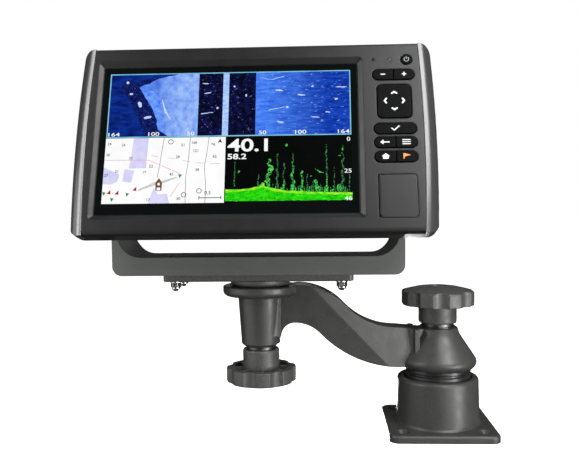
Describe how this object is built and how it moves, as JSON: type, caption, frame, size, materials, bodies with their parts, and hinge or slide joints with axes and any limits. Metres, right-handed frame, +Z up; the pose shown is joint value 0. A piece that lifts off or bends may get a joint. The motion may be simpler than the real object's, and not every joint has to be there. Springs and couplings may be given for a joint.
{
  "type": "fish finder on a swing arm mount",
  "caption": "Fish finder with a wide flat case, tilting U-bracket, S-shaped swing arm with star clamping knobs and a square deck pedestal.",
  "frame": {"origin": "centre of the base plate's underside, on the pedestal axis", "axes": "+Z up along the pedestal axis, the screen faces -Y, the arm reaches to -X"},
  "size_m": [0.3442, 0.1271, 0.326],
  "materials": {
    "dark_cast_aluminium": "fine textured satin powder coat",
    "black_acetal": "smooth",
    "stainless_steel": "turned",
    "brass": "machined",
    "knob_plastic": "fine grained glass-filled nylon",
    "bracket_plastic": "fine grained",
    "plate_black": "black powder coat",
    "case_plastic": "satin grained",
    "trim_plastic": "semi gloss metallic grey",
    "seal_rubber": "soft",
    "screen_glass": "bonded, black printed border",
    "lcd": "display",
    "tray_steel": "pressed",
    "circuit_board": "solder mask",
    "chip_black": "moulded",
    "key_rubber": "silk coated",
    "pin_gold": "plated",
    "window_dark": "smoked"
  },
  "bodies": {
    "base": {"base_housing": "dark_cast_aluminium", "base_bearing_ring": "black_acetal", "base_stud": "stainless_steel"},
    "arm": {"swing_arm": "dark_cast_aluminium", "cone_bushings": "black_acetal", "hub_bushings": "black_acetal", "cone_washer": "black_acetal", "hub_washer": "black_acetal"},
    "upper_knob_washer": {"upper_knob_washer": "stainless_steel"},
    "upper_knob": {"upper_knob": "knob_plastic", "upper_knob_insert": "brass"},
    "head": {"head_spindle": "plate_black", "mounting_plate": "plate_black", "bail_bracket": "bracket_plastic", "bail_bolts": "stainless_steel", "bail_nuts": "stainless_steel", "bail_washers": "stainless_steel"},
    "lower_knob_washer": {"lower_knob_washer": "stainless_steel"},
    "lower_knob": {"lower_knob": "knob_plastic", "lower_knob_insert": "brass"},
    "display": {"front_bezel": "case_plastic", "left_trim": "trim_plastic", "right_trim": "trim_plastic", "rear_housing": "case_plastic", "case_seal": "seal_rubber", "display_lens": "screen_glass", "lcd_panel": "lcd", "backlight_tray": "tray_steel", "main_board": "circuit_board", "board_chips": "chip_black", "case_screws": "stainless_steel", "keypad_mat": "key_rubber", "keypad_board": "circuit_board", "card_reader": "chip_black", "card_door_pin": "stainless_steel", "socket_pins": "pin_gold", "status_led": "window_dark", "light_sensor": "window_dark", "power_socket": "chip_black", "sonar_socket": "chip_black", "network_socket": "chip_black", "pivot_inserts": "brass", "tilt_washers": "seal_rubber"},
    "left_knob_washer": {"left_knob_washer": "stainless_steel"},
    "left_tilt_knob": {"left_tilt_knob": "knob_plastic", "left_knob_stud": "stainless_steel"},
    "right_knob_washer": {"right_knob_washer": "stainless_steel"},
    "right_tilt_knob": {"right_tilt_knob": "knob_plastic", "right_knob_stud": "stainless_steel"},
    "card_door": {"card_door": "case_plastic"},
    "pad_gimbal": {"pad_gimbal": "chip_black"},
    "direction_pad": {"direction_pad": "key_rubber"},
    "power_key": {"power_key": "key_rubber"},
    "range_out_key": {"range_out_key": "key_rubber"},
    "range_in_key": {"range_in_key": "key_rubber"},
    "select_key": {"select_key": "key_rubber"},
    "back_key": {"back_key": "key_rubber"},
    "menu_key": {"menu_key": "key_rubber"},
    "home_key": {"home_key": "key_rubber"},
    "mark_key": {"mark_key": "key_rubber"}
  },
  "joints": [
    {"name": "arm_swing", "type": "hinge", "parent": "base", "child": "arm", "pos_m": [0, 0, 0.0713], "axis": [0, 0, 1], "continuous": true},
    {"name": "head_swivel", "type": "hinge", "parent": "arm", "child": "head", "pos_m": [-0.15334, -0.01045, 0.1011], "axis": [0, 0, 1], "continuous": true},
    {"name": "display_tilt", "type": "hinge", "parent": "head", "child": "display", "pos_m": [-0.15334, -0.01925, 0.23865], "axis": [-1, 0, 0], "range_deg": [-18, 32]},
    {"name": "upper_knob_rise", "type": "slide", "parent": "base", "child": "upper_knob_washer", "axis": [0, 0, 1], "range_m": [0, 0.0015]},
    {"name": "upper_knob_turn", "type": "hinge", "parent": "upper_knob_washer", "child": "upper_knob", "pos_m": [0, 0, 0.09], "axis": [0, 0, 1], "range_deg": [0, 360]},
    {"name": "lower_knob_rise", "type": "slide", "parent": "head", "child": "lower_knob_washer", "axis": [0, 0, -1], "range_m": [0, 0.0015]},
    {"name": "lower_knob_turn", "type": "hinge", "parent": "lower_knob_washer", "child": "lower_knob", "pos_m": [-0.15334, -0.01045, 0.073], "axis": [0, 0, -1], "range_deg": [0, 360]},
    {"name": "left_tilt_knob_rise", "type": "slide", "parent": "display", "child": "left_knob_washer", "axis": [-1, 0, 0], "range_m": [0, 0.0015]},
    {"name": "left_tilt_knob_turn", "type": "hinge", "parent": "left_knob_washer", "child": "left_tilt_knob", "pos_m": [-0.27554, -0.01925, 0.23865], "axis": [-1, 0, 0], "range_deg": [0, 360]},
    {"name": "right_tilt_knob_rise", "type": "slide", "parent": "display", "child": "right_knob_washer", "axis": [1, 0, 0], "range_m": [0, 0.0015]},
    {"name": "right_tilt_knob_turn", "type": "hinge", "parent": "right_knob_washer", "child": "right_tilt_knob", "pos_m": [-0.03114, -0.01925, 0.23865], "axis": [1, 0, 0], "range_deg": [0, 360]},
    {"name": "card_door_hinge", "type": "hinge", "parent": "display", "child": "card_door", "pos_m": [-0.05459, -0.07106, 0.20193], "axis": [0, -0.3132, -0.9497], "range_deg": [0, 88]},
    {"name": "power_key_press", "type": "slide", "parent": "display", "child": "power_key", "axis": [0, 0.9497, -0.3132], "range_m": [0, 0.0004], "stiffness_N_per_m": 500},
    {"name": "range_out_key_press", "type": "slide", "parent": "display", "child": "range_out_key", "axis": [0, 0.9497, -0.3132], "range_m": [0, 0.0004], "stiffness_N_per_m": 500},
    {"name": "range_in_key_press", "type": "slide", "parent": "display", "child": "range_in_key", "axis": [0, 0.9497, -0.3132], "range_m": [0, 0.0004], "stiffness_N_per_m": 500},
    {"name": "select_key_press", "type": "slide", "parent": "display", "child": "select_key", "axis": [0, 0.9497, -0.3132], "range_m": [0, 0.0004], "stiffness_N_per_m": 500},
    {"name": "back_key_press", "type": "slide", "parent": "display", "child": "back_key", "axis": [0, 0.9497, -0.3132], "range_m": [0, 0.0004], "stiffness_N_per_m": 500},
    {"name": "menu_key_press", "type": "slide", "parent": "display", "child": "menu_key", "axis": [0, 0.9497, -0.3132], "range_m": [0, 0.0004], "stiffness_N_per_m": 500},
    {"name": "home_key_press", "type": "slide", "parent": "display", "child": "home_key", "axis": [0, 0.9497, -0.3132], "range_m": [0, 0.0004], "stiffness_N_per_m": 500},
    {"name": "mark_key_press", "type": "slide", "parent": "display", "child": "mark_key", "axis": [0, 0.9497, -0.3132], "range_m": [0, 0.0004], "stiffness_N_per_m": 500},
    {"name": "pad_rock_up_down", "type": "hinge", "parent": "display", "child": "pad_gimbal", "pos_m": [-0.04164, -0.0432, 0.27571], "axis": [1, 0, 0], "range_deg": [-1.3, 1.3], "stiffness_Nm_per_rad": 0.4},
    {"name": "pad_rock_left_right", "type": "hinge", "parent": "pad_gimbal", "child": "direction_pad", "pos_m": [-0.04164, -0.0432, 0.27571], "axis": [0, 0.3132, 0.9497], "range_deg": [-1.3, 1.3], "stiffness_Nm_per_rad": 0.4}
  ],
  "couplings": [
    {"joint": "upper_knob_turn", "follows": "upper_knob_rise", "rad_per_m": 4188.8},
    {"joint": "lower_knob_turn", "follows": "lower_knob_rise", "rad_per_m": 4188.8},
    {"joint": "left_tilt_knob_turn", "follows": "left_tilt_knob_rise", "rad_per_m": 4188.8},
    {"joint": "right_tilt_knob_turn", "follows": "right_tilt_knob_rise", "rad_per_m": 4188.8}
  ]
}
